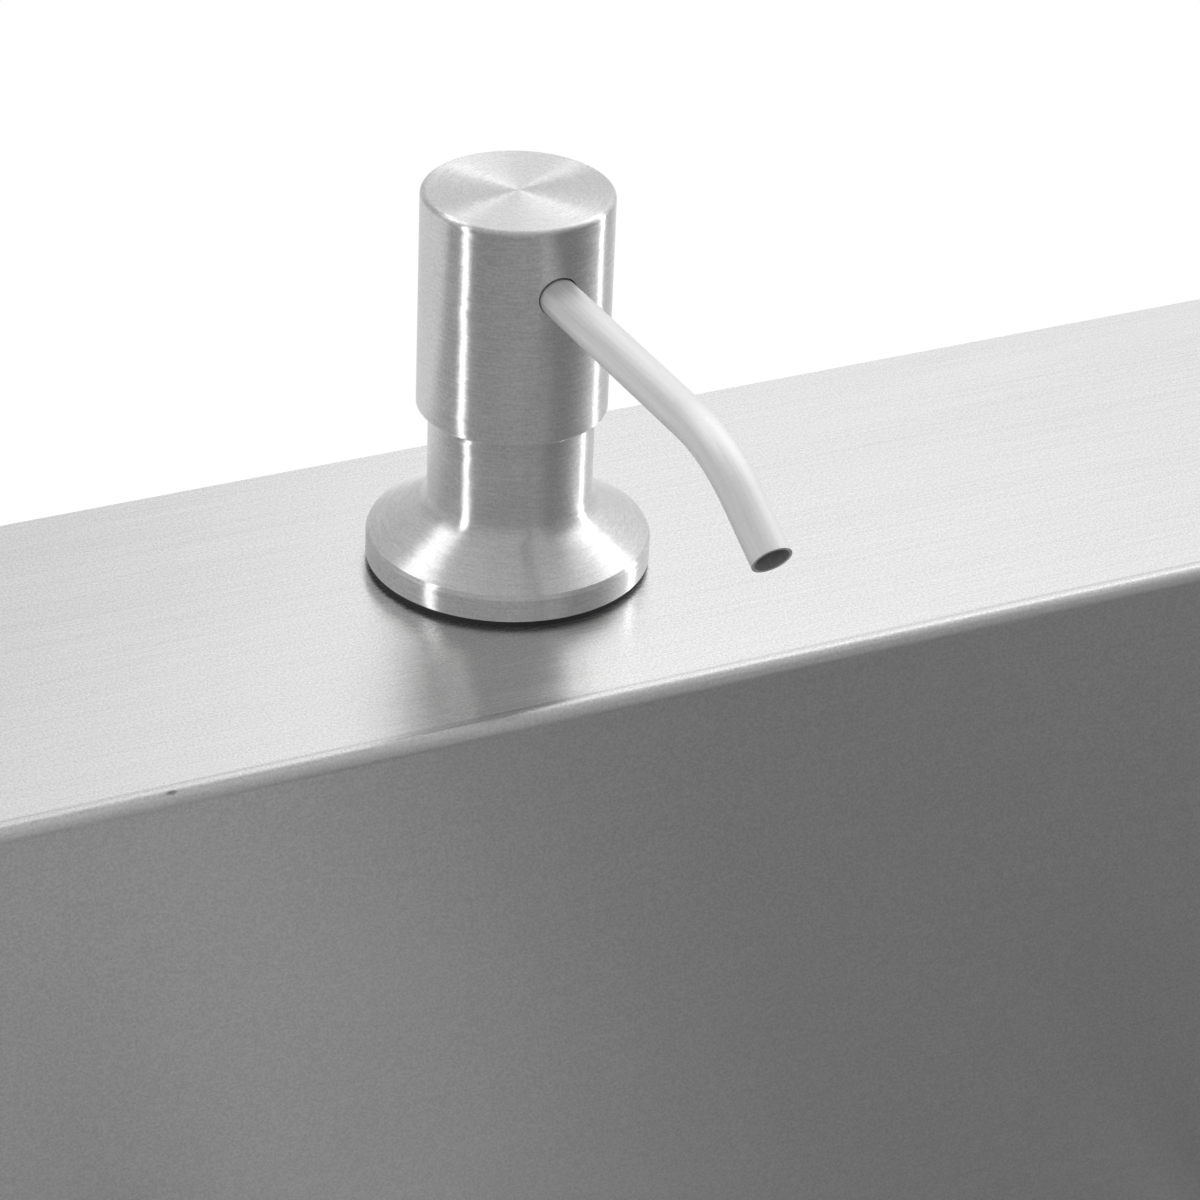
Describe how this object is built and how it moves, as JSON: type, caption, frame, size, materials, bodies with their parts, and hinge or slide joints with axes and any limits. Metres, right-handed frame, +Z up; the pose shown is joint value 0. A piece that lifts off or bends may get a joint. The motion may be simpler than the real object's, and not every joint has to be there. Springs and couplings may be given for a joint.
{
  "type": "bar sink",
  "caption": "Top-mount steel bar sink: deep rectangular bowl, rear tap deck with push-top soap dispenser and open tap hole, basket strainer, tailpiece, rim rails and clips.",
  "frame": {"origin": "on the drain axis, at the lower end of the tailpiece", "axes": "+X to the right along the tap deck, +Y to the back where the tap deck is, +Z up"},
  "size_m": [0.508, 0.4572, 0.4412],
  "materials": {
    "brushed_sheet": "fine straight brushed stainless steel",
    "turned_steel": "turned and brushed stainless steel",
    "stamped_steel": "plain pressed stainless steel",
    "polished_chrome": "bright plating",
    "zinc_steel": "dull zinc-plated steel",
    "plated_brass": "satin nickel plating",
    "black_rubber": "matt black rubber",
    "grey_rubber": "matt grey rubber",
    "foam_seal": "closed-cell grey foam",
    "fibre": "pressed fibre",
    "black_plastic": "matt black plastic",
    "white_plastic": "natural white plastic",
    "clear_plastic": "translucent bottle plastic",
    "spring_steel": "drawn spring wire"
  },
  "bodies": {
    "sink": {"sink_shell": "brushed_sheet", "rim_plate": "brushed_sheet", "rim_seal": "foam_seal", "mounting_rails": "stamped_steel", "clip_bolts": "zinc_steel", "clip_jaws": "zinc_steel", "clip_nuts": "zinc_steel", "sound_pads": "grey_rubber", "strainer_body": "turned_steel", "strainer_flange_seal": "black_rubber", "strainer_gasket": "black_rubber", "friction_ring": "fibre", "strainer_locknut": "plated_brass", "tailpiece": "polished_chrome", "tailpiece_washer": "white_plastic", "coupling_nut": "plated_brass", "collar_flange": "turned_steel", "base_gasket": "black_rubber", "threaded_shank": "black_plastic", "shank_washer": "black_rubber", "mounting_nut": "black_plastic", "soap_bottle": "clear_plastic"},
    "pump": {"pump_closure": "black_plastic", "pump_cylinder": "white_plastic", "dip_tube": "white_plastic", "return_spring": "spring_steel"},
    "plunger": {"plunger_stem": "white_plastic", "piston": "white_plastic"},
    "head": {"pump_cap": "turned_steel", "pump_head_insert": "black_plastic", "spout_tube": "turned_steel"},
    "inlet_ball": {"check_ball": "polished_chrome"},
    "basket": {"strainer_basket": "stamped_steel", "basket_post": "polished_chrome", "basket_stopper": "black_rubber"}
  },
  "joints": [
    {"name": "pump_lift", "type": "slide", "parent": "sink", "child": "pump", "axis": [0, 0, 1], "range_m": [0, 0.24]},
    {"name": "head_press", "type": "slide", "parent": "pump", "child": "plunger", "axis": [0, 0, -1], "range_m": [0, 0.015], "stiffness_N_per_m": 250, "springref_m": -0.006, "deforming": ["return_spring"]},
    {"name": "head_swivel", "type": "hinge", "parent": "plunger", "child": "head", "pos_m": [0.0635, 0.2197, 0.4284], "axis": [0, 0, 1], "continuous": true},
    {"name": "inlet_valve", "type": "slide", "parent": "pump", "child": "inlet_ball", "axis": [0, 0, 1], "range_m": [0, 0.002]},
    {"name": "basket_lift", "type": "slide", "parent": "sink", "child": "basket", "axis": [0, 0, 1], "range_m": [0, 0.26]}
  ]
}
